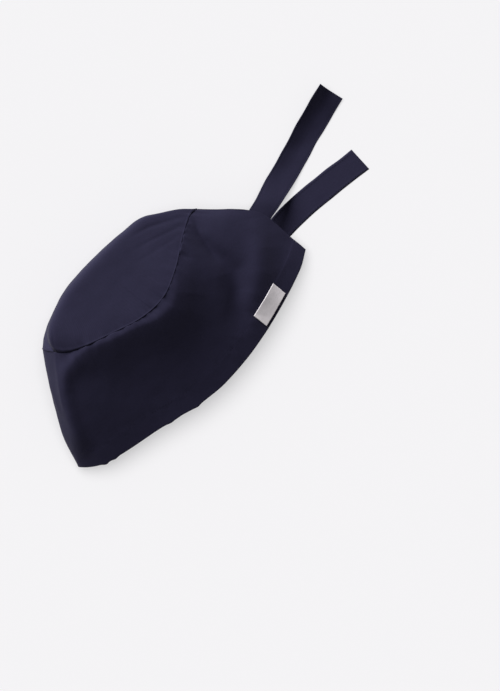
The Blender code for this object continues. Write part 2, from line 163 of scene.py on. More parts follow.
BACK_CREST = table(
    Place,
    (0.950, 0.420, 0.000, 0.090, 0.09),
    (0.898, 0.230, 0.060, 0.090, 0.09),
    (0.845, 0.105, 0.070, 0.090, 0.09),
    (0.790, 0.005, 0.050, 0.090, 0.09),
    (0.740, -0.067, 0.000, 0.090, 0.09),
)
BACK_PUFF = table(
    Place,
    (0.950, 0.500, 0.000, 0.100, 0.15),
    (0.890, 0.560, 0.018, 0.100, 0.15),
    (0.835, 0.590, 0.018, 0.100, 0.15),
    (0.760, 0.600, 0.000, 0.100, 0.15),
)
BAND_FOLDS = (FRONT_AND_SEAM_ROLL, BACK_VALLEY, BACK_CREST, BACK_PUFF)

# Where the band turns under, the folds of its upper side fade out over a short way round it.
TURNED_UNDER = 0.53
TURN = 0.03

# Small folds and creases of the side that faces up, in millimetres in the cap's own plan. Each point has
# the fold's height there. A soft fold is round and a crease has a sharp line.
FineFold = namedtuple("FineFold", "kind width points")
BAND_FINE_FOLDS = (
    FineFold("crease", 1.6, ((61, 94, 0.7), (54, 85, 0.9), (46, 74, 0.9), (33, 56, 0.8), (25, 45, 0.0))),
    FineFold("crease", 1.4, ((39, 81, 0.0), (37, 78, 0.6), (31, 66, 0.8), (26, 56, 0.7), (22, 46, 0.0))),
    FineFold("crease", 4.0, ((243, 97, 0.0), (236, 80, -2.2), (233, 62, -2.0), (230, 42, 0.0))),
)
CROWN_FINE_FOLDS = (
    FineFold("crease", 1.6, ((80, 118, 0.0), (74, 110, 0.6), (66, 101, 0.8), (61, 94, 0.7))),
    FineFold("soft", 2.2, ((244, 99, 0.0), (228, 106, 0.4), (206, 117, 0.5), (180, 124, 0.0))),
    FineFold("soft", 2.0, ((240, 96, 0.0), (222, 99, 0.3), (200, 106, 0.3), (170, 114, 0.0))),
    FineFold("soft", 2.0, ((234, 92, 0.0), (214, 93, 0.2), (192, 97, 0.2), (165, 103, 0.0))),
)

# Each strap's middle line, from the slit's edge out. run is a share of the strap's length, side is the
# sideways drift as a share of it, lift is the height as a share of the height at the slit, and bank is
# the tilt across the strap in degrees. curl turns its left edge up, as a share of its width.
StrapPoint = namedtuple("StrapPoint", "run side lift bank curl")
LEFT_STRAP = table(
    StrapPoint,
    (0.00, 0.000, 1.00, 0, 0.00),
    (0.10, 0.000, 0.78, 2, 0.00),
    (0.26, 0.002, 0.28, 2, 0.15),
    (0.50, 0.008, 0.04, 4, 0.35),
    (0.75, 0.016, 0.09, 9, 0.55),
    (1.00, 0.014, 0.20, 13, 0.80),
)
RIGHT_STRAP = table(
    StrapPoint,
    (0.00, 0.000, 1.00, 0, 0.00),
    (0.10, 0.006, 0.62, 0, 0.00),
    (0.22, 0.018, 0.16, 0, 0.00),
    (0.36, 0.028, -0.20, 1, 0.00),
    (0.60, 0.026, -0.60, 0, 0.00),
    (1.00, -0.006, -0.60, 0, 0.00),
)

# Each strap: its piece and node, the slit's edge it is sewn to, how far up the band its middle is, which
# way it runs in the plan in degrees, and 1 where its outer face looks up or -1 where it looks down.
Strap = namedtuple("Strap", "name node edge up heading outwards middle_line")
STRAPS = (
    Strap("left_strap", "tie_left", SLIT_LEFT, 0.545, 15.3, 1.0, LEFT_STRAP),
    Strap("right_strap", "tie_right", SLIT_RIGHT, 0.375, -1.5, -1.0, RIGHT_STRAP),
)

# Small kinks of the rim's outline in the cap's own plan: where along it, how far in, and how wide.
RimKink = namedtuple("RimKink", "x inwards width")
RIM_KINKS = table(
    RimKink,
    (12, 0.9, 7),
    (20, -1.6, 3),
    (30, -0.9, 3),
    (92, -0.8, 4),
    (106, 0.6, 6),
    (121, -0.9, 4),
    (150, -0.5, 12),
)

# Slight waves of cloth that isn't pressed: how long and how high they are, and where their noise starts.
Wave = namedtuple("Wave", "length height start")
BAND_WAVES = (Wave(0.030, 0.0006, 3.1), Wave(0.011, 0.00022, 7.7))
CROWN_WAVES = (Wave(0.034, 0.0004, 5.3), Wave(0.011, 0.00022, 9.1))
LABEL_WAVES = (Wave(0.009, 0.00025, 4.4),)
STRAP_WAVES = (Wave(0.016, 0.0004, 2.0),)
STRAP_WANDER = Wave(20.0 * MM, 0.0008, 6.0)
WANDER_RISE = 8.0

# Small puckers beside a seam: how high they are and where their noise starts. All of them are as long
# along the seam, and fade out over the same reach from it.
Gathers = namedtuple("Gathers", "height start")
SEAM_GATHERS = Gathers(1.1 * MM, 1.7)
HEM_GATHERS = Gathers(0.5 * MM, 8.2)
CROWN_GATHERS = Gathers(0.6 * SEAM_GATHERS.height, 6.4)
PUCKER_LENGTH = 7.0 * MM
PUCKER_REACH = 6.0 * MM
PUCKER_STRETCH = 0.4

# Marks of the grids beside an edge, a seam and the hem's stitches, and how far apart points stand elsewhere.
EDGE_MARKS = (0.0, 0.15 * MM, 0.4 * MM, 0.8 * MM, 1.4 * MM)
SEAM_MARKS = (3.4 * MM, 2.5 * MM, 1.8 * MM, 1.2 * MM, 0.7 * MM, 0.3 * MM, 0.0)
HEM_STEP = 1.2 * MM
HEM_LINE_MARKS = (-0.7 * MM, -0.35 * MM, 0.0, 0.35 * MM, 0.7 * MM, HEM_STEP)
HEM_SPACING = 1.5 * MM
MAIN_ROWS = 62
UPPER_SPACING = 1.15 * MM
UNDER_SPACING = 3.0 * MM
CROWN_SPACING = 1.1 * MM
STRAP_SPACING = 1.0 * MM
NARROW_SPACING = 0.9 * MM
TUCK_ROWS = 8

# How cloth rolls over at its edges and dips at its seams and stitches, and how softly the floor presses it.
SEAM_ROLL = 1.2 * MM
SEAM_DROP = 0.8
CROWN_SEAM_DROP = 0.4
EDGE_ROLLED = 0.85
STITCH_DIP = 0.2 * MM
STITCH_HALF_WIDTH = 0.7 * MM
FLOOR_FADE = 8.0 * MM
CLOTH_PRESS = 0.2 * MM
STRAP_PRESS = 0.1 * MM

# The side that faces up, the middle of it round the band, and the crown's half of it.
FACING_UP = 0.54
SIDE_MIDDLE = 0.25
CROWN_FACING = 0.25
CROWN_HALVES = (0.100, 0.080)

# The hem shows fully beside the slit and fades towards the front. SLIT_END is where its rolled edge ends.
HEM_RAISE = 0.25 * MM
HEM_FAINT = 0.25
HEM_FADE_FROM, HEM_FADE = 0.10, 0.08
HEM_WALL_STEP = 1.0 * MM
SLIT_END = 3 * MM

# A strap lies free of the band's slope after STRAP_FREE of its length, and curls from CURL_FROM of its
# width. OUTER_SAMPLE is the column whose face tells which way its grid looks.
STRAP_FREE = 0.35
CURL_FROM = 0.1
OUTER_SAMPLE = -20
LABEL_AROUND = 0.119

# A stitch starts and ends within its length of seam, and its thread stands a little proud.
STITCH_START, STITCH_END = 0.12, 0.88
THREAD_LIFT = 0.05
STRAP_STITCH_INSET = 2.0 * MM
HEM_STITCH_INSET = 0.004
HEM_STITCH_SAMPLES = 600

# Counts and tiny limits of the working-out itself.
SECTION_MARKS, FRAME_ROWS = 9, 17
TINY, NO_AREA = 1e-9, 1e-12

# Real ribs stand about 0.5 mm apart, finer than the picture's pixels, so they are drawn 1.0 mm apart. The
# thread's twist and the label's threads are finer still, and are drawn as coarse as a near view shows.
RIB_MM = 1.0
RIB_ANGLE = 63
FIBRE_MM, CLOUD_MM = 2.4, 26
TWIST_MM = 0.5
LABEL_THREAD_MM, LABEL_FIBRE_MM = 0.6, 3

# The photograph's frame: metres in each pixel, the point of the cap's own plan in its middle, and the
# picture's right and up in the plan, whose front to back runs up to the right.
PIXEL = 0.00095
PICTURE_PIXELS = 691
PICTURE_MIDDLE = (0.1970, -0.0285)
PICTURE_RIGHT = (0.7193, -0.6947)
LENS, SENSOR = 135.0, 36.0
FOCUS_HEIGHT = 0.025

# Soft daylight from the picture's upper left for the cap, and from above for the floor. spread and height
# are in degrees. SUN_SIDE is how far up and how far left in the picture the light comes from.
Sun = namedtuple("Sun", "name energy spread height distance")
WINDOW = Sun("window light", 5.9, 40, 30, 2.0)
CEILING = Sun("ceiling light", 2.92, 60, 72, 1.0)
SUN_SIDE = (0.8, 0.6)
ROOM_LIGHT = 0.2
FLOOR_HALF = 6.0
FLOOR_DROP = 0.05 * MM


def linear(hex_colour):
    """An sRGB hex colour as the linear values that Blender's colours hold."""
    parts = [int(hex_colour[i:i + 2], 16) / 255 for i in (0, 2, 4)]
    return [part / 12.92 if part <= 0.04045 else ((part + 0.055) / 1.055) ** 2.4 for part in parts]


def length_property(name, description, default):
    """A size in metres that a user may change."""
    return bpy.props.FloatProperty(
        name=name, description=description, default=default, unit="LENGTH", precision=5
    )


def colour_property(name, description, hex_colour):
    """A colour that a user may change."""
    return bpy.props.FloatVectorProperty(
        name=name, description=description, default=linear(hex_colour), subtype="COLOR", min=0.0, max=1.0
    )


class CapSizes(bpy.types.PropertyGroup):
    """The cap's driving sizes."""

    cap_length: length_property("Cap length", "Rim from the front fold to the back corner, lying", 0.298)
    cap_height: length_property("Cap height", "Rim to crown seam at the front, lying", 0.134)
    lying_depth: length_property("Lying depth", "Height of the cap as it lies on its side", 0.068)
    slit_height: length_property("Slit height", "How far the back slit reaches up from the rim", 0.083)
    hem_depth: length_property("Hem depth", "Turned-up hem, from the rim to its stitches", 0.019)
    cloth: length_property("Cloth", "One layer of twill with its puckers", 0.0008)
    hem_cloth: length_property("Hem cloth", "The hem's two layers at the rolled rim", 0.0018)
    strap_cloth: length_property("Strap cloth", "A strap's folded layers", 0.0014)
    frame_cloth: length_property("Frame cloth", "The frame's cloth, which the straps lie under", 0.0012)
    sewn_gap: length_property("Sewn gap", "Clearance between sewn layers", 0.0005)
    strap_width: length_property("Strap width", "Width of each strap", 0.0252)
    strap_length: length_property("Strap length", "Free length of each strap", 0.136)
    strap_tuck: length_property("Strap tuck", "Strap end sewn under the slit's edge", 0.009)
    label_length: length_property("Label length", "Label along the rim", 0.0352)
    label_width: length_property("Label width", "Label across the hem", 0.0165)
    label_inset: length_property("Label inset", "Label's distance from the rim", 0.0036)
    label_cloth: length_property("Label cloth", "The folded label with its clearance", 0.0010)
    stitch: length_property("Stitch", "Length of one stitch with its gap", 0.0029)
    thread: length_property("Thread", "Thickness of the sewing thread", 0.0003)


class CapColours(bpy.types.PropertyGroup):
    """The cap's colours and the floor's."""

    twill: colour_property("Twill", "Navy cotton twill", "201e34")
    thread: colour_property("Thread", "Navy sewing thread", "1e1c30")
    label: colour_property("Label", "Off-white woven label", "e8e2e6")
    floor: colour_property("Floor", "Pale floor", "acabad")


def smooth(x):
    """0 to 1 with level ends."""
    x = np.clip(x, 0.0, 1.0)
    return x * x * (3.0 - 2.0 * x)


def curve_through(table, key, column):
    """A smooth curve through one column of a table, as a function of its key column."""
    places = np.array([getattr(row, key) for row in table], float)
    values = np.array([getattr(row, column) for row in table], float)
    slopes = np.gradient(values, places, edge_order=1)
    slopes[1:-1] = (values[2:] - values[:-2]) / (places[2:] - places[:-2])

    def at(place):
        """The curve's value at a place or at each of an array of places."""
        place = np.clip(place, places[0], places[-1])
        i = np.maximum(np.searchsorted(places, place), 1) - 1
        span = places[i + 1] - places[i]
        x = (place - places[i]) / span
        rise = values[i + 1] - values[i]
        start, end = slopes[i] * span, slopes[i + 1] * span
        return values[i] + x * (start + x * ((3 * rise - 2 * start - end) + x * (start + end - 2 * rise)))

    return at


def curves_of(table, key):
    """Every other column of a table as a curve over its key column."""
    return {name: curve_through(table, key, name) for name in table[0]._fields if name != key}


def together(around, up):
    """Places round and up the band as arrays of one shape."""
    return np.broadcast_arrays(np.asarray(around, float), np.asarray(up, float))


def above_floor(height, ease):
    """A height, or the floor where the cloth would sink through, eased into the flat."""
    return np.where(height < -ease, 0.0, np.where(height < ease, (height + ease) ** 2 / (4 * ease), height))


def edge_roll(distance, radius):
    """How far a rounded edge has dropped at a distance from it."""
    x = np.clip(1.0 - distance / radius, 0.0, 1.0)
    return radius * (1.0 - np.sqrt(1.0 - x * x))


def across_grid(points):
    """The way out of a grid of points, for each point."""
    along = np.gradient(points, axis=1)
    rise = np.gradient(points, axis=0)
    normal = np.cross(rise, along)
    return normal / np.maximum(np.linalg.norm(normal, axis=-1, keepdims=True), NO_AREA)


def stretches(plan, corners, size=1.0):
    """Each stretch of a line, with how far along it and how far off each point of the plan is."""
    for a, b in zip(corners, corners[1:]):
        start, end = (np.array(corner[:2], float) * size for corner in (a, b))
        run = end - start
        share = np.clip((plan - start) @ run / (run @ run), 0.0, 1.0)
        off = plan - start - share[..., None] * run
        yield a, b, share, off, np.linalg.norm(off, axis=-1)


def fine_height(points, folds):
    """How far the fine folds lift the cloth at each point of a grid, in metres."""
    plan = points[..., :2] / MM
    lift = np.zeros(plan.shape[:-1])
    for fold in folds:
        near, height = np.full(lift.shape, np.inf), np.zeros(lift.shape)
        for a, b, share, _, distance in stretches(plan, fold.points):
            height = np.where(distance < near, a[2] + (b[2] - a[2]) * smooth(share), height)
            near = np.minimum(near, distance)
        lift += height * np.exp(-near / fold.width if fold.kind == "crease" else -((near / fold.width) ** 2))
    return lift * MM


def unevenness(points, waves, shift=0.0):
    """Slight waves of cloth that isn't pressed, the same each run."""
    flat = points.reshape(-1, 3)
    lift = np.zeros(points.shape[:-1])
    for wave in waves:
        place = Vector([wave.start + shift] * 3)
        values = [noise.noise(Vector(point) / wave.length + place) for point in flat]
        lift = lift + np.array(values).reshape(lift.shape) * wave.height
    return lift


def gathers(along, across, kind):
    """Small puckers that run away from a seam and fade out, the same each run."""
    flat = np.stack([along.ravel() / PUCKER_LENGTH, across.ravel() / PUCKER_REACH], axis=-1)
    values = [noise.noise(Vector((a, b * PUCKER_STRETCH, kind.start))) for a, b in flat]
    return np.array(values).reshape(along.shape) * kind.height * np.exp(-across / PUCKER_REACH)


class CapForm:
    """The cap's surfaces as it lies, worked out from its sizes and its tables."""

    FLOOR_EASE = 0.004
    STRAP_EASE = 0.001
    DRAWN_FROM = 0.86
    DRAWN_POWER = 6
    STEP = 0.01

    def __init__(self, sizes):
        self.sizes = sizes
        self.scale = np.array((sizes.cap_length, sizes.cap_height, sizes.lying_depth))
        self.band_curves = curves_of(BAND_SECTIONS, "around")
        self.crown_rise = curve_through(CROWN_BOWS, "along", "rise")
        columns = np.arange(FRAME_COLUMNS + 1) / FRAME_COLUMNS
        sheet = self.band_surface(columns[:, None], np.linspace(0.0, 1.0, FRAME_ROWS))
        low = np.array(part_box("side_band")[0]) - sheet.min(axis=(0, 1))
        self.shift = np.array((low[0], low[1], 0.0))

    def section_point(self, around, up):
        """A point of one section of the band, by its table alone."""
        around, up = together(around, up)
        value = {name: curve(around) for name, curve in self.band_curves.items()}
        swell = np.sin(np.pi * up)
        fuller = 1.0 + value["skew"] * np.sin(2.0 * np.pi * (up - SKEW_FROM))
        share = [value["rim_" + axis] * (1 - up) + value["seam_" + axis] * up for axis in "xyz"]
        share[0] = share[0] + value["out_x"] * swell * fuller
        share[2] = share[2] + value["out_z"] * swell
        return np.stack(share, axis=-1) * self.scale

    def section_length(self, around):
        """The length of cloth from the rim to the seam."""
        marks = np.linspace(0.0, 1.0, SECTION_MARKS)
        points = self.section_point(np.asarray(around, float)[..., None], marks)
        return np.linalg.norm(np.diff(points, axis=-2), axis=-1).sum(axis=-1)

    def around_per_metre(self, around):
        """How much around changes along a metre of the rim."""
        low, high = np.maximum(around - self.STEP, SLIT_LEFT), np.minimum(around + self.STEP, SLIT_RIGHT)
        run = self.section_point(high, 0.0) - self.section_point(low, 0.0)
        return (high - low) / np.linalg.norm(run, axis=-1)

    def slit_top(self):
        """The share of the band's height that the slit reaches."""
        return self.sizes.slit_height / self.section_length(SLIT_LEFT)

    def fold_height(self, point, around):
        """How far the main folds lift the band's upper side."""
        plan = point[..., :2]
        size = self.scale[:2]
        lift = np.zeros(plan.shape[:-1])
        for fold in BAND_FOLDS:
            near, value = np.full(lift.shape, np.inf), np.zeros(lift.shape)
            for a, b, share, off, distance in stretches(plan, fold, size):
                height, above, below = (a[i] + (b[i] - a[i]) * share for i in (2, 3, 4))
                reach = np.where(off[..., 1] > 0.0, above, below) * size[1]
                value = np.where(distance < near, height * np.exp(-((distance / reach) ** 2)), value)
                near = np.minimum(near, distance)
            lift += value
        return lift * self.scale[2] * smooth((TURNED_UNDER - around) / TURN)

    def folded_point(self, around, up):
        """A point of a section with its main folds, before the back is drawn together."""
        around, up = together(around, up)
        point = self.section_point(around, up)
        point[..., 2] += self.fold_height(point, around)
        return point

    def loose_band(self, around, up):
        """The outside of the band before the floor presses it, with both sides joined above the slit."""
        around, up = together(around, up)
        top = self.slit_top()
        drawn = np.minimum(up / top, 1.0) ** self.DRAWN_POWER
        beside = smooth((around - self.DRAWN_FROM) / (SLIT_RIGHT - self.DRAWN_FROM))
        height = np.maximum(up, top)
        opening = self.folded_point(SLIT_LEFT, height) - self.folded_point(SLIT_RIGHT, height)
        return self.folded_point(around, up) + opening * (drawn * beside)[..., None]

    def band_surface(self, around, up):
        """The outside of the band."""
        point = self.loose_band(around, up)
        point[..., 2] = above_floor(point[..., 2], self.FLOOR_EASE)
        return point

    def band_outwards(self, around, up):
        """The way out of the band's surface."""
        around, up = together(around, up)
        low, high = np.maximum(around - self.STEP, SLIT_LEFT), np.minimum(around + self.STEP, SLIT_RIGHT)
        below, above = np.maximum(up - self.STEP, 0.0), np.minimum(up + self.STEP, 1.0)
        along = self.band_surface(high, up) - self.band_surface(low, up)
        rise = self.band_surface(around, above) - self.band_surface(around, below)
        normal = np.cross(rise, along)
        return normal / np.linalg.norm(normal, axis=-1, keepdims=True)

    def crown_surface(self, turn, reach):
        """The outside of the crown. turn goes round as around does, reach from its middle (0) to its seam."""
        angle = 2.0 * np.pi * (turn - FRONT_FOLD)
        along = np.clip(reach * np.cos(angle), -1.0, 1.0)
        across = reach * np.sin(angle)
        side = np.arccos(along) / np.pi
        width = np.sin(np.pi * side)
        share = 0.5 + np.clip(across / np.maximum(width, TINY), -1.0, 1.0) / 2.0
        left = self.section_point(FRONT_FOLD * (1.0 - side), 1.0)
        right = self.loose_band(FRONT_FOLD * (1.0 + side), 1.0)
        bow = np.sin(np.pi * share) * width
        fold = self.fold_height(left, FRONT_FOLD * (1.0 - side)) * np.exp(-((share * width / FOLD_FADE) ** 2))
        turned = share**CROWN_LEVEL / (share**CROWN_LEVEL + (1.0 - share) ** CROWN_LEVEL)
        down = CROWN_LEAN * share + (1.0 - CROWN_LEAN) * turned
        point = left + (right - left) * np.stack([share, share, down], axis=-1)
        point[..., 1] += self.crown_rise(side) * self.scale[1] * bow
        point[..., 2] += fold * (1.0 - down)
        point[..., 2] = above_floor(point[..., 2], self.FLOOR_EASE)
        return point

    def placed(self, points):
        """Points of the cap's own plan in the frame."""
        return points + self.shift


def marks_between(start, end, spacing):
    """Even marks from just after start up to end, at most a spacing apart."""
    count = max(int(math.ceil((end - start) / spacing - TINY)), 1)
    return [start + (end - start) * (i + 1) / count for i in range(count)]


def marks_across(width, spacing):
    """Marks from one edge of a strip to the other, close together beside both edges."""
    inner = marks_between(EDGE_MARKS[-1], width - EDGE_MARKS[-1], spacing)[:-1]
    return np.array([*EDGE_MARKS, *inner, *(width - mark for mark in reversed(EDGE_MARKS))])


def band_rows(form, around):
    """The places up the band of each row of its grid, for an array of places round it."""
    sizes = form.sizes
    length = form.section_length(around)
    hem = list(EDGE_MARKS) + marks_between(EDGE_MARKS[-1], sizes.hem_depth - HEM_STEP, HEM_SPACING)
    hem += [sizes.hem_depth + mark for mark in HEM_LINE_MARKS]
    rows = [mark / length for mark in hem]
    for i in range(1, MAIN_ROWS):
        rows.append((hem[-1] + (length - SEAM_MARKS[0] - hem[-1]) * (i / MAIN_ROWS)) / length)
    rows += [1.0 - mark / length for mark in SEAM_MARKS]
    return np.stack(rows)


def band_columns(form):
    """The places round the band of each column of its grid, finer on the side that faces up."""
    per_metre = form.around_per_metre(SIDE_MIDDLE)
    edge = [mark * per_metre for mark in EDGE_MARKS]
    near = marks_between(edge[-1], TURNED_UNDER, UPPER_SPACING * per_metre)
    far = marks_between(TURNED_UNDER, SLIT_RIGHT - edge[-1], UNDER_SPACING * per_metre)
    return np.array(edge + near + far[:-1] + [SLIT_RIGHT - mark for mark in reversed(edge)])


def new_sheet():
    """An empty sheet with room for its walls and its place in the flat cloth."""
    sheet = bmesh.new()
    sheet.verts.layers.float.new("wall")
    sheet.verts.layers.float_vector.new("inwards")
    sheet.loops.layers.uv.new("cloth")
    return sheet


def add_grid(sheet, points, walls, cloth):
    """A grid of cloth, given row by row: its points, its walls and its places in the flat cloth."""
    rows, columns = len(points) - 1, len(points[0]) - 1
    wall, uv = sheet.verts.layers.float["wall"], sheet.loops.layers.uv["cloth"]
    made = bmesh.ops.create_grid(sheet, x_segments=columns, y_segments=rows, size=0.5)["verts"]
    place = {}
    for vertex in made:
        place[vertex] = (round((vertex.co.y + 0.5) * rows), round((vertex.co.x + 0.5) * columns))
    for vertex, at in place.items():
        vertex.co = points[at]
        vertex[wall] = walls[at]
    for face in {face for vertex in made for face in vertex.link_faces}:
        for loop in face.loops:
            loop[uv].uv = cloth[place[loop.vert]]


def set_walls(sheet):
    """Turns the sheet's faces outwards and sets how each point moves to the inner side."""
    bmesh.ops.recalc_face_normals(sheet, faces=sheet.faces)
    highest = max(sheet.faces, key=lambda face: face.calc_center_median().z)
    if highest.normal.z < 0.0:
        bmesh.ops.reverse_faces(sheet, faces=sheet.faces)
    sheet.normal_update()
    wall, inwards = sheet.verts.layers.float["wall"], sheet.verts.layers.float_vector["inwards"]
    for vertex in sheet.verts:
        vertex[inwards] = vertex.normal * -vertex[wall]


def close_walls(sheet):
    """Gives the sheet its inner side and its edges. The sheet stays as its outer side."""
    inwards = sheet.verts.layers.float_vector["inwards"]
    made = bmesh.ops.extrude_face_region(sheet, geom=sheet.faces[:], use_keep_orig=True)["geom"]
    for vertex in (item for item in made if isinstance(item, bmesh.types.BMVert)):
        vertex.co += vertex[inwards]
        vertex.co.z = max(vertex.co.z, 0.0)
    bmesh.ops.recalc_face_normals(sheet, faces=sheet.faces)


def add_object(name, data):
    """Puts an object that holds some data into the scene."""
    made = bpy.data.objects.new(name, data)
    bpy.context.scene.collection.objects.link(made)
    return made


def add_piece(name, sheet, finish, node=None):
    """Makes a named object that rides on the cap and may stand for a node of the frame."""
    mesh = bpy.data.meshes.new(name)
    sheet.to_mesh(mesh)
    sheet.free()
    mesh.shade_smooth()
    mesh.materials.append(finish)
    piece = add_object(name, mesh)
    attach(piece, "root")
    if node:
        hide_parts(node)
    return piece


def fill_sockets(material, node, values):
    """Links or sets sockets of a node."""
    for socket, value in values.items():
        if isinstance(value, bpy.types.NodeSocket):
            material.node_tree.links.new(value, node.inputs[socket])
        else:
            node.inputs[socket].default_value = value


def add_node(material, kind, values, **settings):
    """Adds a shader node to a material, with what its sockets take and its settings."""
    node = material.node_tree.nodes.new("ShaderNode" + kind)
    for name, value in settings.items():
        setattr(node, name, value)
    fill_sockets(material, node, values)
    return node


def new_material(name):
    """A material with its shader alone."""
    material = bpy.data.materials.new(name)
    material.use_nodes = True
    return material, material.node_tree.nodes["Principled BSDF"]


def wave_scale(spacing_mm):
    """The Wave texture's scale for bands that stand a distance apart."""
    return 2 * math.pi / (20 * spacing_mm * MM)


def shade_of(colour, share=1.0):
    """A lighter or darker shade of a colour, with its alpha."""
    return (*[share * part for part in colour], 1.0)


def weave_face(material, shader, tone, shades, height, strength, depth, values):
    """Gives a woven face its two shades, its bump and the shader's own values."""
    shade = add_node(material, "Mix", {"Factor": tone, 6: shades[0], 7: shades[1]}, data_type="RGBA")
    bump = add_node(material, "Bump", {"Height": height, "Strength": strength, "Distance": depth})
    links = {"Base Color": shade.outputs[2], "Normal": bump.outputs["Normal"]}
    fill_sockets(material, shader, {**links, **values})


def twill(name, colour):
    """Navy cotton twill."""
    # Spun cotton woven in steep diagonal ribs. The eye sees fine slanting lines, faint clouds of lighter
    # and darker yarn, and a matt face with a slight bloom of fibre at grazing angles.
    material, shader = new_material(name)
    place = add_node(material, "UVMap", {}, uv_map="cloth").outputs["UV"]
    turned = add_node(material, "Mapping", {"Vector": place, "Rotation": (0, 0, math.radians(RIB_ANGLE))})
    bands = {"Vector": turned.outputs["Vector"], "Scale": wave_scale(RIB_MM), "Distortion": 1.2}
    bands |= {"Detail": 1.0, "Detail Scale": 2.0}
    ribs = add_node(material, "TexWave", bands, wave_type="BANDS", bands_direction="X", wave_profile="SIN")
    fibres = add_node(material, "TexNoise", {"Vector": place, "Scale": 1 / (FIBRE_MM * MM), "Detail": 3.0})
    clouds = add_node(material, "TexNoise", {"Vector": place, "Scale": 1 / (CLOUD_MM * MM), "Detail": 2.0})
    parts = {0: ribs.outputs["Fac"], 1: 0.4, 2: fibres.outputs["Fac"]}
    weave = add_node(material, "Math", parts, operation="MULTIPLY_ADD").outputs["Value"]
    parts = {0: clouds.outputs["Fac"], 1: 0.35, 2: weave}
    tone = add_node(material, "Math", parts, operation="MULTIPLY_ADD").outputs["Value"]
    mixed = add_node(material, "MapRange", {"Value": tone, "From Min": 0.4, "From Max": 1.5})
    shades = (shade_of(colour, 0.84), shade_of(colour, 1.14))
    values = {"Roughness": 0.88, "Specular IOR Level": 0.2, "Sheen Weight": 0.03, "Sheen Roughness": 0.45}
    values["Sheen Tint"] = (0.72, 0.70, 0.92, 1.0)
    weave_face(material, shader, mixed.outputs["Result"], shades, weave, 0.35, 0.25 * MM, values)
    return material


def sewing_thread(name, colour):
    """Spun sewing thread."""
    # Plies twisted together. The eye sees a round cord with slanting ridges and a slight shine.
    material, shader = new_material(name)
    place = add_node(material, "TexCoord", {}).outputs["Object"]
    bands = {"Vector": place, "Scale": wave_scale(TWIST_MM), "Distortion": 0.5}
    twist = add_node(material, "TexWave", bands, wave_type="BANDS", bands_direction="DIAGONAL")
    bump = add_node(material, "Bump", {"Height": twist.outputs["Fac"], "Strength": 0.4, "Distance": 0.1 * MM})
    values = {"Base Color": shade_of(colour), "Roughness": 0.8, "Specular IOR Level": 0.15}
    fill_sockets(material, shader, {"Normal": bump.outputs["Normal"], **values})
    return material


def woven_label(name, colour):
    """Damask-woven polyester ribbon."""
    # Fine filament threads, woven close. The eye sees a smooth satin face with faint cross threads.
    material, shader = new_material(name)
    place = add_node(material, "UVMap", {}, uv_map="cloth").outputs["UV"]
    bands = {"Vector": place, "Scale": wave_scale(LABEL_THREAD_MM), "Distortion": 0.4}
    threads = add_node(material, "TexWave", bands, wave_type="BANDS", bands_direction="X")
    grain = {"Vector": place, "Scale": 1 / (LABEL_FIBRE_MM * MM), "Detail": 2.0}
    fibres = add_node(material, "TexNoise", grain)
    parts = {0: threads.outputs["Fac"], 1: 0.5, 2: fibres.outputs["Fac"]}
    weave = add_node(material, "Math", parts, operation="MULTIPLY_ADD").outputs["Value"]
    shades = (shade_of(colour, 0.9), shade_of(colour))
    values = {"Roughness": 0.5, "Sheen Weight": 0.2}
    weave_face(material, shader, weave, shades, weave, 0.3, 0.1 * MM, values)
    return material


def finish(name, make, *values):
    """A material by its name, made once."""
    return bpy.data.materials.get(name) or make(name, *values)


def twill_finish(context):
    """The cap's twill in the colour that the panel gives."""
    return finish("navy cotton twill", twill, context.scene.cap_colours.twill[:])


def thread_finish(context):
    """The cap's thread in the colour that the panel gives."""
    return finish("navy sewing thread", sewing_thread, context.scene.cap_colours.thread[:])


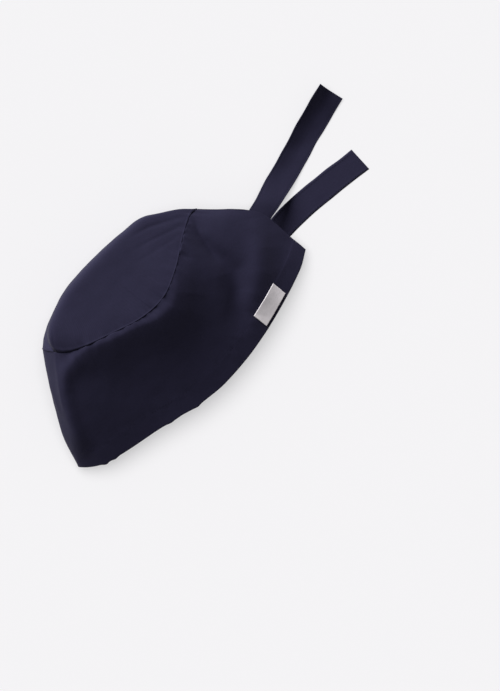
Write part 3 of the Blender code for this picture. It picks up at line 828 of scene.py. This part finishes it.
def band_sheet(form):
    """The band's cloth with its hem, folds and edges."""
    sizes = form.sizes
    columns = band_columns(form)
    rows = band_rows(form, columns)
    around = np.broadcast_to(columns, rows.shape)
    length = form.section_length(columns)
    rim_length = 1.0 / form.around_per_metre(SIDE_MIDDLE)
    points = form.band_surface(around, rows)
    outwards = across_grid(points)
    from_rim = rows * length
    from_hem = from_rim - sizes.hem_depth
    from_seam = (1.0 - rows) * length
    from_slit = np.minimum(around - SLIT_LEFT, SLIT_RIGHT - around) * rim_length
    facing = smooth((FACING_UP - around) / TURN)
    detail = fine_height(points, BAND_FINE_FOLDS) * facing
    detail += unevenness(points, BAND_WAVES)
    hem_line = np.exp(-((from_hem / STITCH_HALF_WIDTH) ** 2))
    hem_shows = HEM_FAINT + (1.0 - HEM_FAINT) * (1.0 - smooth((around - HEM_FADE_FROM) / HEM_FADE))
    hem_raise = HEM_RAISE * (1.0 - smooth(from_hem / HEM_STEP))
    below_top = smooth((form.slit_top() - rows) * length / SLIT_END)
    wall = sizes.cloth + (sizes.hem_cloth - sizes.cloth) * (1.0 - smooth(from_hem / HEM_WALL_STEP))
    rim_roll = edge_roll(from_rim, wall / 2)
    slit_roll = edge_roll(from_slit, wall / 2) * below_top
    rolled = np.maximum(rim_roll, slit_roll) * EDGE_ROLLED
    detail += (hem_raise - hem_line * STITCH_DIP) * hem_shows
    detail -= rolled + SEAM_DROP * edge_roll(from_seam, SEAM_ROLL)
    along = around * rim_length
    detail += gathers(along, from_seam, SEAM_GATHERS) * facing
    detail += gathers(along, abs(from_hem), HEM_GATHERS) * facing
    points = points + outwards * detail[..., None]
    for kink in RIM_KINKS:
        beside = np.exp(-(((points[..., 0] / MM - kink.x) / kink.width) ** 2) - from_rim / sizes.hem_depth)
        points[..., 1] += kink.inwards * MM * beside * facing
    points[..., 2] = above_floor(points[..., 2], CLOTH_PRESS)
    wall = wall - 2 * rolled
    sheet = new_sheet()
    cloth = np.stack([around * rim_length, rows * length], axis=-1)
    add_grid(sheet, form.placed(points), wall, cloth)
    bmesh.ops.remove_doubles(sheet, verts=sheet.verts, dist=1e-5)
    set_walls(sheet)
    return sheet


def square_to_turn(across, up, rings):
    """A place in a unit square as a turn and a reach, ring by ring, from its middle."""
    a, b = 2.0 * across - 1.0, 2.0 * up - 1.0
    reach = np.maximum(abs(a), abs(b))
    safe_a, safe_b = (np.where(abs(value) < TINY, TINY, value) for value in (a, b))
    upright = abs(b) > abs(a)
    by_side = np.where(b > 0.0, 1.0, 3.0) - a / safe_b / 2.0
    by_end = np.where(a > 0.0, 0.0, 2.0) + b / safe_a / 2.0
    quarters = np.where(upright, by_side, by_end)
    ring = np.rint(reach * (len(rings) - 1)).astype(int)
    return np.where(reach < TINY, FRONT_FOLD, (quarters / 4.0) % 1.0), np.asarray(rings)[ring]


def crown_sheet(form):
    """The crown's cloth with its folds, turned in at the seam."""
    half_length, half_width = CROWN_HALVES
    outer = [1.0 - mark / half_width for mark in SEAM_MARKS]
    rings = [0.0] + marks_between(0.0, outer[0], CROWN_SPACING / half_width) + outer[1:]
    cells = 2 * (len(rings) - 1)
    grid = np.arange(cells + 1) / cells
    turn, reach = square_to_turn(*np.meshgrid(grid, grid), rings)
    points = form.crown_surface(turn, reach)
    outwards = -across_grid(points)
    from_seam = np.linalg.norm(points - form.crown_surface(turn, np.ones_like(reach)), axis=-1)
    angle = 2.0 * np.pi * (turn - FRONT_FOLD)
    across = reach * np.sin(angle)
    facing = smooth((CROWN_FACING - across) / CROWN_FACING)
    detail = fine_height(points, CROWN_FINE_FOLDS) * facing
    detail += unevenness(points, CROWN_WAVES)
    detail += gathers(turn / form.around_per_metre(SIDE_MIDDLE), from_seam, CROWN_GATHERS) * facing
    detail *= smooth(points[..., 2] / FLOOR_FADE)
    detail -= CROWN_SEAM_DROP * edge_roll(from_seam, SEAM_ROLL)
    points = points + outwards * detail[..., None]
    points[..., 2] = above_floor(points[..., 2], CLOTH_PRESS)
    sheet = new_sheet()
    cloth = np.stack([reach * np.cos(angle) * half_length, across * half_width], axis=-1)
    add_grid(sheet, form.placed(points), np.full(reach.shape, form.sizes.cloth), cloth)
    set_walls(sheet)
    return sheet


def strap_sheet(form, strap):
    """A strap, tucked under the band at the slit's edge, and its stitches."""
    sizes = form.sizes
    edge, outwards = strap.edge, strap.outwards
    curves = curves_of(strap.middle_line, "run")
    inside = -(sizes.frame_cloth + sizes.sewn_gap)
    towards_front = math.copysign(1.0, FRONT_FOLD - edge)
    heading = math.radians(strap.heading)
    ahead = np.array((math.cos(heading), math.sin(heading), 0.0))
    aside = np.array((-ahead[1], ahead[0], 0.0))
    rest = sizes.strap_cloth if outwards > 0 else 0.0
    half = sizes.strap_width / 2
    widths = (marks_across(sizes.strap_width, NARROW_SPACING) - half) / sizes.strap_width
    tuck = [-sizes.strap_tuck + sizes.strap_tuck * i / TUCK_ROWS for i in range(TUCK_ROWS)]
    ends = [sizes.strap_length - mark for mark in reversed(EDGE_MARKS)]
    runs = np.array(tuck + [0.0] + marks_between(0.0, ends[0], STRAP_SPACING)[:-1] + ends)
    run, across = np.meshgrid(runs, widths)

    def under_band(back, share):
        """A place under the band, so far back from the slit's edge and so far across the strap."""
        around = edge + towards_front * back * form.around_per_metre(edge)
        up = strap.up + share * sizes.strap_width / form.section_length(edge)
        return form.band_surface(around, up) + form.band_outwards(around, up) * inside

    bed = under_band(np.zeros(()), np.zeros(()))
    tucked = under_band(np.maximum(-run, 0.0), across)
    share = np.maximum(run, 0.0) / sizes.strap_length
    bound = 1.0 - smooth(share / STRAP_FREE)
    root = under_band(np.zeros_like(across), across)
    slant = (root - bed) @ ahead * bound
    width = (root - bed) @ aside * bound + across * sizes.strap_width * (1.0 - bound)
    places = np.stack([run, across * STRAP_WANDER.length, 0 * run], axis=-1)
    wander = unevenness(places, (STRAP_WANDER,), outwards)
    side = curves["side"](share) * sizes.strap_length + wander * smooth(share * WANDER_RISE)
    points = bed + ahead * (share * sizes.strap_length + slant)[..., None] + aside * (width + side)[..., None]
    tilt = np.tan(np.radians(curves["bank"](share))) * across * sizes.strap_width
    tilt += curves["curl"](share) * np.maximum(across + CURL_FROM, 0.0) ** 2 * sizes.strap_width
    lift = curves["lift"](share) * ((root[..., 2] - rest) * bound + (bed[2] - rest) * (1.0 - bound))
    points[..., 2] = rest + np.where(share > 0.0, above_floor(lift + tilt, form.STRAP_EASE), lift)
    points = np.where((run < 0.0)[..., None], tucked, points)
    out = across_grid(points) * -1.0
    out *= np.sign(out[out.shape[0] // 2, OUTER_SAMPLE, 2]) * outwards
    from_edge = np.minimum(half - abs(across) * sizes.strap_width, sizes.strap_length - run)
    rolled = edge_roll(from_edge, sizes.strap_cloth / 2) * EDGE_ROLLED
    line = np.exp(-(((from_edge - STRAP_STITCH_INSET) / STITCH_HALF_WIDTH) ** 2)) * (run > 0.0)
    detail = unevenness(points, STRAP_WAVES, outwards) - rolled - line * STITCH_DIP
    points = points + out * detail[..., None]
    wall = sizes.strap_cloth - 2 * rolled
    under = wall if outwards > 0 else 0.0
    points[..., 2] = under + above_floor(points[..., 2] - under, STRAP_PRESS)
    sheet = new_sheet()
    placed = form.placed(points)
    add_grid(sheet, placed, wall, np.stack([run, across * sizes.strap_width], axis=-1))
    set_walls(sheet)
    if outwards < 0:
        bmesh.ops.reverse_faces(sheet, faces=sheet.faces)
        sheet.normal_update()
        inwards = sheet.verts.layers.float_vector["inwards"]
        for vertex in sheet.verts:
            vertex[inwards] = -Vector(vertex[inwards])
    stitches = bmesh.new()
    side_row = int(np.argmin(abs(widths * sizes.strap_width + half - STRAP_STITCH_INSET)))
    last = int(np.argmin(abs(runs - (sizes.strap_length - STRAP_STITCH_INSET))))
    first = len(tuck)
    rows = (np.s_[side_row, first:last], np.s_[-1 - side_row, first:last], np.s_[side_row:-side_row, last])
    for row in rows:
        stitch_row(stitches, placed[row], out[row], sizes.stitch, sizes.thread)
        through = out[row] * wall[row][..., None]
        stitch_row(stitches, placed[row] - through, -out[row], sizes.stitch, sizes.thread)
    return sheet, stitches


def label_sheet(form):
    """The label on the hem, its long side along the rim."""
    sizes = form.sizes
    columns = marks_across(sizes.label_length, NARROW_SPACING)
    rows = marks_across(sizes.label_width, NARROW_SPACING)
    run, rise = np.meshgrid(columns, rows)
    around = LABEL_AROUND + (run - sizes.label_length / 2) * form.around_per_metre(LABEL_AROUND)
    up = (sizes.label_inset + rise) / form.section_length(around)
    from_ends = np.minimum(run, sizes.label_length - run)
    from_edge = np.minimum(from_ends, np.minimum(rise, sizes.label_width - rise))
    rolled = edge_roll(from_edge, sizes.label_cloth / 2) * EDGE_ROLLED
    waves = unevenness(np.stack([run, rise, 0 * run], axis=-1), LABEL_WAVES)
    raised = sizes.sewn_gap + sizes.label_cloth - rolled + waves
    points = form.band_surface(around, up) + form.band_outwards(around, up) * raised[..., None]
    sheet = new_sheet()
    add_grid(sheet, form.placed(points), sizes.label_cloth - 2 * rolled, np.stack([run, rise], axis=-1))
    set_walls(sheet)
    return sheet


def stitch_row(sheet, places, outwards, stitch, thread):
    """Lays stitches end to end along a line of points on the cloth."""
    lengths = np.concatenate([[0.0], np.cumsum(np.linalg.norm(np.diff(places, axis=0), axis=1))])
    for i in range(int(lengths[-1] / stitch)):
        start, end = (i + STITCH_START) * stitch, (i + STITCH_END) * stitch
        a, b = (Vector([np.interp(at, lengths, places[:, axis]) for axis in range(3)]) for at in (start, end))
        middle = (start + end) / 2
        up = Vector([np.interp(middle, lengths, outwards[:, axis]) for axis in range(3)]).normalized()
        along = (b - a).normalized()
        across = up.cross(along).normalized()
        size = Matrix.Diagonal(((b - a).length / 2, thread / 2, thread / 2, 1.0))
        turn = Matrix((along, across, along.cross(across))).transposed().to_4x4()
        put = Matrix.Translation((a + b) / 2 + up * thread * THREAD_LIFT)
        bmesh.ops.create_icosphere(sheet, subdivisions=1, radius=1.0, matrix=put @ turn @ size)


def on_band(form, around, distance):
    """Points of the band at a distance from the rim, with the way out, for a line of stitches."""
    up = distance / form.section_length(around)
    return form.placed(form.band_surface(around, up)), form.band_outwards(around, up)


class CapPiece:
    """What the cap's operators share."""

    bl_options = {"REGISTER", "UNDO"}

    def form(self, context):
        """The cap's surfaces in the sizes that the panel gives."""
        return CapForm(context.scene.cap_sizes)


class SideBand(CapPiece, bpy.types.Operator):
    """Makes the twill side band with its hem and back slit"""

    bl_idname = "cap.side_band"
    bl_label = "Side Band"

    def execute(self, context):
        form = self.form(context)
        sheet = band_sheet(form)
        close_walls(sheet)
        piece = add_piece("band_twill", sheet, twill_finish(context), "side_band")
        stitches = bmesh.new()
        sizes = form.sizes
        around = np.linspace(SLIT_LEFT + HEM_STITCH_INSET, SLIT_RIGHT - HEM_STITCH_INSET, HEM_STITCH_SAMPLES)
        line = on_band(form, around, np.full(HEM_STITCH_SAMPLES, sizes.hem_depth))
        stitch_row(stitches, *line, sizes.stitch, sizes.thread)
        hem = add_piece("hem_stitching", stitches, thread_finish(context))
        # The cut is 599 mm along the rim and 116 mm deep on average, with 19 mm of hem to turn up.
        return {"FINISHED"}


class CrownPanel(CapPiece, bpy.types.Operator):
    """Makes the oval twill crown"""

    bl_idname = "cap.crown_panel"
    bl_label = "Crown Panel"

    def execute(self, context):
        sheet = crown_sheet(self.form(context))
        close_walls(sheet)
        piece = add_piece("crown_twill", sheet, twill_finish(context), "crown_panel")
        return {"FINISHED"}


class Straps(CapPiece, bpy.types.Operator):
    """Makes both straps that tie the cap"""

    bl_idname = "cap.straps"
    bl_label = "Straps"

    def execute(self, context):
        form = self.form(context)
        for strap in STRAPS:
            sheet, stitches = strap_sheet(form, strap)
            close_walls(sheet)
            piece = add_piece(strap.name, sheet, twill_finish(context), strap.node)
            sewn = add_piece(strap.name + "_stitching", stitches, thread_finish(context))
        return {"FINISHED"}


class Label(CapPiece, bpy.types.Operator):
    """Makes the bare woven label on the hem"""

    bl_idname = "cap.label"
    bl_label = "Label"

    def execute(self, context):
        form = self.form(context)
        sheet = label_sheet(form)
        close_walls(sheet)
        satin = finish("woven polyester label", woven_label, context.scene.cap_colours.label[:])
        piece = add_piece("blank_label", sheet, satin, "label")
        return {"FINISHED"}


def add_sun(sun, side, middle, group, lit):
    """A lamp as far off as the sun, which lights only the given objects."""
    data = bpy.data.lights.new(sun.name, "SUN")
    data.energy, data.angle = sun.energy, math.radians(sun.spread)
    lamp = add_object(sun.name, data)
    height = math.radians(sun.height)
    target = Vector((middle.x, middle.y, 0.0))
    lamp.location = target + side * sun.distance * math.cos(height)
    lamp.location.z = sun.distance * math.sin(height)
    lamp.rotation_euler = (target - lamp.location).to_track_quat("-Z", "Y").to_euler()
    receivers = bpy.data.collections.new(group)
    for item in lit:
        receivers.objects.link(item)
    lamp.light_linking.receiver_collection = receivers


class Studio(CapPiece, bpy.types.Operator):
    """Makes the floor, the light and the camera"""

    bl_idname = "cap.studio"
    bl_label = "Studio"

    def execute(self, context):
        scene = context.scene
        middle = Vector(self.form(context).placed(np.array((*PICTURE_MIDDLE, 0.0))))
        right = Vector((*PICTURE_RIGHT, 0.0))
        up = Vector((-right.y, right.x, 0.0))
        data = bpy.data.cameras.new("overhead camera")
        data.lens, data.sensor_width = LENS, SENSOR
        camera = add_object("overhead camera", data)
        distance = PICTURE_PIXELS * PIXEL * LENS / SENSOR
        turn = Matrix((right, up, Vector((0.0, 0.0, 1.0)))).transposed().to_4x4()
        camera.matrix_world = Matrix.Translation((middle.x, middle.y, FOCUS_HEIGHT + distance)) @ turn
        scene.camera = camera
        floor_sheet = bmesh.new()
        bmesh.ops.create_grid(floor_sheet, x_segments=4, y_segments=4, size=FLOOR_HALF)
        bmesh.ops.translate(floor_sheet, verts=floor_sheet.verts, vec=(0.0, 0.0, -FLOOR_DROP))
        mesh = bpy.data.meshes.new("floor")
        floor_sheet.to_mesh(mesh)
        floor_sheet.free()
        floor = add_object("floor", mesh)
        # Matt white paper, lit from below as well. The eye sees a bright plain ground with soft shadows.
        paper, shader = new_material("matt white paper")
        values = {
            "Base Color": (*scene.cap_colours.floor[:], 1.0),
            "Roughness": 1.0,
            "Specular IOR Level": 0.0,
            "Emission Color": (1.0, 0.995, 1.005, 1.0),
            "Emission Strength": 0.462,
        }
        fill_sockets(paper, shader, values)
        mesh.materials.append(paper)
        floor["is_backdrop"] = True
        side = (up * SUN_SIDE[0] - right * SUN_SIDE[1]).normalized()
        add_sun(WINDOW, side, middle, "cap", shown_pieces())
        add_sun(CEILING, side, middle, "ground", [floor])
        world = bpy.data.worlds.new("pale room")
        world.use_nodes = True
        background = world.node_tree.nodes["Background"]
        background.inputs["Color"].default_value = (1.0, 1.0, 1.0, 1.0)
        background.inputs["Strength"].default_value = ROOM_LIGHT
        scene.world = world
        scene.view_settings.view_transform = "Standard"
        return {"FINISHED"}


class CapPanel(bpy.types.Panel):
    """Lists the cap's pieces and its studio"""

    bl_idname = "VIEW3D_PT_scrub_cap"
    bl_label = "Scrub Cap"
    bl_space_type = "VIEW_3D"
    bl_region_type = "UI"
    bl_category = "Cap"

    def draw(self, context):
        for operator in OPERATORS:
            self.layout.operator(operator.bl_idname)
        for group in (context.scene.cap_sizes, context.scene.cap_colours):
            for name in group.__annotations__:
                self.layout.prop(group, name)


OPERATORS = (SideBand, CrownPanel, Straps, Label, Studio)
CLASSES = (CapSizes, CapColours, *OPERATORS, CapPanel)


def register():
    """Registers the cap's classes and gives the scene its sizes and colours."""
    for each in CLASSES:
        bpy.utils.register_class(each)
    bpy.types.Scene.cap_sizes = bpy.props.PointerProperty(type=CapSizes)
    bpy.types.Scene.cap_colours = bpy.props.PointerProperty(type=CapColours)


def unregister():
    """Takes them all away again."""
    del bpy.types.Scene.cap_colours
    del bpy.types.Scene.cap_sizes
    for each in reversed(CLASSES):
        bpy.utils.unregister_class(each)


def main():
    """Makes the cap and its studio."""
    register()
    bpy.ops.cap.side_band()
    bpy.ops.cap.crown_panel()
    bpy.ops.cap.straps()
    bpy.ops.cap.label()
    bpy.ops.cap.studio()


if __name__ == "__main__":
    main()
